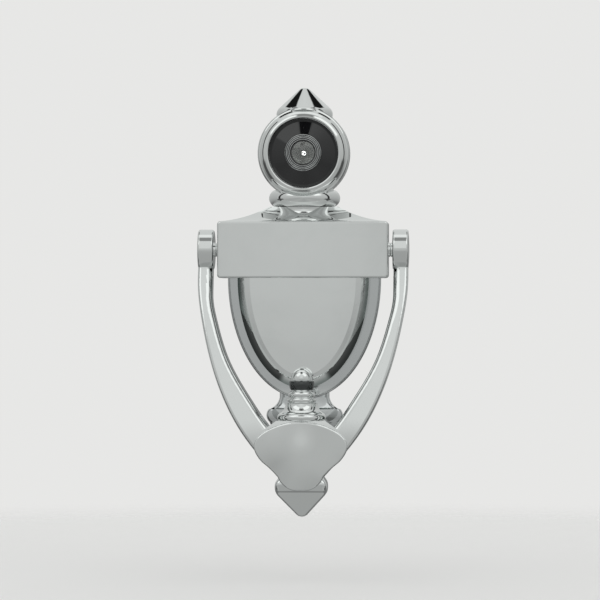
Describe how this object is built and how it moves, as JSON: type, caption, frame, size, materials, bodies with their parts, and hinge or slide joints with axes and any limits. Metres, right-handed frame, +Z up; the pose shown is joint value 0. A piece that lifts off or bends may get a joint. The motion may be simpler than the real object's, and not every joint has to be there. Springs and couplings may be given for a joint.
{
  "type": "door knocker with viewer",
  "caption": "Urn-shaped chrome door knocker whose hinged bail strikes a stud on the foot, with a wide angle door viewer through its round top.",
  "frame": {"origin": "on the viewer's axis, in the plane of the door's outer face that the plate's back lies on", "axes": "+Z up along the knocker's length, -Y the front of the knocker, +Y into the door along the viewer's barrel, +X to the right seen from the front"},
  "size_m": [0.0994, 0.0883, 0.201],
  "materials": {
    "chrome_cast": "polished chrome plate on a casting",
    "chrome_turned": "polished chrome plate on turned metal",
    "black_gloss": "glossy black",
    "barrel_metal": "satin plated, finely turned",
    "lens_glass": "clear optical glass",
    "black_matte": "matt black inside the viewer",
    "steel": "plain turned steel"
  },
  "bodies": {
    "plate": {"urn_plate": "chrome_cast", "viewer_ring": "chrome_turned", "lens_surround": "black_gloss", "outer_barrel": "barrel_metal", "objective_lens": "lens_glass", "lens_spacer": "black_matte", "middle_lens": "lens_glass", "lens_ring": "black_matte", "strike_stud": "chrome_turned", "pivot_collar_left": "chrome_turned", "pivot_collar_right": "chrome_turned", "fixing_screws": "steel", "cup_washers": "chrome_turned"},
    "bail": {"bail": "chrome_cast", "acorn_finial": "chrome_turned", "pivot_pin_left": "steel", "pivot_pin_right": "steel"},
    "eyepiece": {"eyepiece_barrel": "chrome_turned", "eye_lens": "lens_glass", "eye_lens_ring": "black_matte"}
  },
  "joints": [
    {"name": "bail_swing", "type": "hinge", "parent": "plate", "child": "bail", "pos_m": [0, -0.0115, -0.04545], "axis": [-1, 0, 0], "range_deg": [0, 154]},
    {"name": "eyepiece_travel", "type": "slide", "parent": "plate", "child": "eyepiece", "axis": [0, 1, 0], "range_m": [-0.01, 0.04]}
  ]
}
